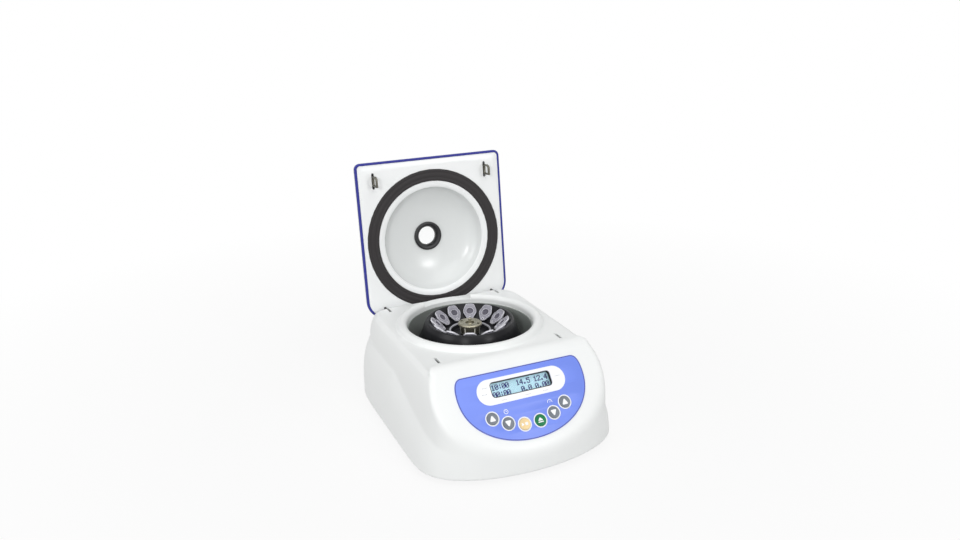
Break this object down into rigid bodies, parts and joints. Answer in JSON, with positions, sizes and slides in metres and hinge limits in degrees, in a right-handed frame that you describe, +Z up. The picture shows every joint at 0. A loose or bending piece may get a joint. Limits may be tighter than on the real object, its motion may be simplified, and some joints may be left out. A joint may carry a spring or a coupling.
{
  "type": "bench centrifuge",
  "caption": "Small bench centrifuge for microtubes: a hinged lid with a domed liner and gasket, a fixed-angle rotor in a steel bowl, and a sloped keypad with a display.",
  "frame": {"origin": "on the surface that the feet stand on, under the middle of the bounding box with the lid open", "axes": "+X to the right seen from the keypad, +Y from the keypad to the lid's hinge, +Z up"},
  "size_m": [0.196, 0.2702, 0.2382],
  "materials": {
    "shell_white": "semi-gloss moulded",
    "liner_white": "satin moulded",
    "trim_blue": "satin",
    "overlay_blue": "printed film, satin",
    "rubber_black": "matte",
    "plastic_black": "fine texture",
    "steel_satin": "spun",
    "steel_bright": "polished",
    "nut_champagne": "champagne anodised",
    "rotor_black": "black anodised",
    "clear_plastic": "clear",
    "board_green": "solder mask",
    "key_grey": "satin",
    "key_yellow": "satin",
    "key_green": "satin",
    "display_cyan": "backlit",
    "motor_grey": "semi-gloss"
  },
  "bodies": {
    "base": {"housing": "shell_white", "base_plate": "motor_grey", "foot_front_left": "rubber_black", "foot_front_right": "rubber_black", "foot_back_left": "rubber_black", "foot_back_right": "rubber_black", "chamber_bowl": "steel_satin", "motor": "motor_grey", "motor_plate": "steel_satin", "motor_damper_1": "rubber_black", "motor_damper_2": "rubber_black", "motor_damper_3": "rubber_black", "latch_solenoid": "motor_grey", "hinge_block_left": "liner_white", "hinge_block_right": "liner_white", "hinge_pin_left": "steel_bright", "hinge_pin_right": "steel_bright", "keypad_overlay": "overlay_blue", "display_bezel": "plastic_black", "display_window": "clear_plastic", "display_module": "display_cyan", "control_board": "board_green", "power_inlet": "plastic_black", "switch_frame": "plastic_black"},
    "rotor_set": {"rotor": "rotor_black", "rotor_nut": "nut_champagne", "rotor_shaft": "steel_bright", "tube_01": "clear_plastic", "tube_02": "clear_plastic", "tube_03": "clear_plastic", "tube_04": "clear_plastic", "tube_05": "clear_plastic", "tube_06": "clear_plastic", "tube_07": "clear_plastic", "tube_08": "clear_plastic", "tube_09": "clear_plastic", "tube_10": "clear_plastic", "tube_11": "clear_plastic", "tube_12": "clear_plastic"},
    "lid": {"lid_cover": "shell_white", "lid_trim": "trim_blue", "lid_liner": "liner_white", "lid_gasket": "rubber_black", "lid_port_grommet": "plastic_black", "lid_sight_window": "clear_plastic", "latch_loop_left": "steel_bright", "latch_loop_right": "steel_bright", "hinge_arm_left": "plastic_black", "hinge_arm_right": "plastic_black"},
    "latch": {"latch_bar": "steel_bright"},
    "time_up": {"key_time_up": "key_grey"},
    "time_down": {"key_time_down": "key_grey"},
    "start_stop": {"key_start_stop": "key_yellow"},
    "open_lid": {"key_open": "key_green"},
    "speed_down": {"key_speed_down": "key_grey"},
    "speed_up": {"key_speed_up": "key_grey"},
    "rocker": {"switch_rocker": "plastic_black"}
  },
  "joints": [
    {"name": "lid_hinge", "type": "hinge", "parent": "base", "child": "lid", "pos_m": [0, 0.08456, 0.0837], "axis": [1, 0, 0], "range_deg": [0, 96.48]},
    {"name": "rotor_spin", "type": "hinge", "parent": "base", "child": "rotor_set", "pos_m": [0, 0.01456, 0.06], "axis": [0, 0, 1], "continuous": true},
    {"name": "latch_slide", "type": "slide", "parent": "base", "child": "latch", "axis": [1, 0, 0], "range_m": [0, 0.0034], "stiffness_N_per_m": 150},
    {"name": "time_up_press", "type": "slide", "parent": "base", "child": "time_up", "axis": [0, 0.7789, -0.6271], "range_m": [0, 0.0007], "stiffness_N_per_m": 600},
    {"name": "time_down_press", "type": "slide", "parent": "base", "child": "time_down", "axis": [0, 0.7789, -0.6271], "range_m": [0, 0.0007], "stiffness_N_per_m": 600},
    {"name": "start_stop_press", "type": "slide", "parent": "base", "child": "start_stop", "axis": [0, 0.7789, -0.6271], "range_m": [0, 0.0007], "stiffness_N_per_m": 600},
    {"name": "open_press", "type": "slide", "parent": "base", "child": "open_lid", "axis": [0, 0.7789, -0.6271], "range_m": [0, 0.0007], "stiffness_N_per_m": 600},
    {"name": "speed_down_press", "type": "slide", "parent": "base", "child": "speed_down", "axis": [0, 0.7789, -0.6271], "range_m": [0, 0.0007], "stiffness_N_per_m": 600},
    {"name": "speed_up_press", "type": "slide", "parent": "base", "child": "speed_up", "axis": [0, 0.7789, -0.6271], "range_m": [0, 0.0007], "stiffness_N_per_m": 600},
    {"name": "rocker_tilt", "type": "hinge", "parent": "base", "child": "rocker", "pos_m": [0.004, 0.10456, 0.028], "axis": [1, 0, 0], "range_deg": [-12, 0]}
  ]
}
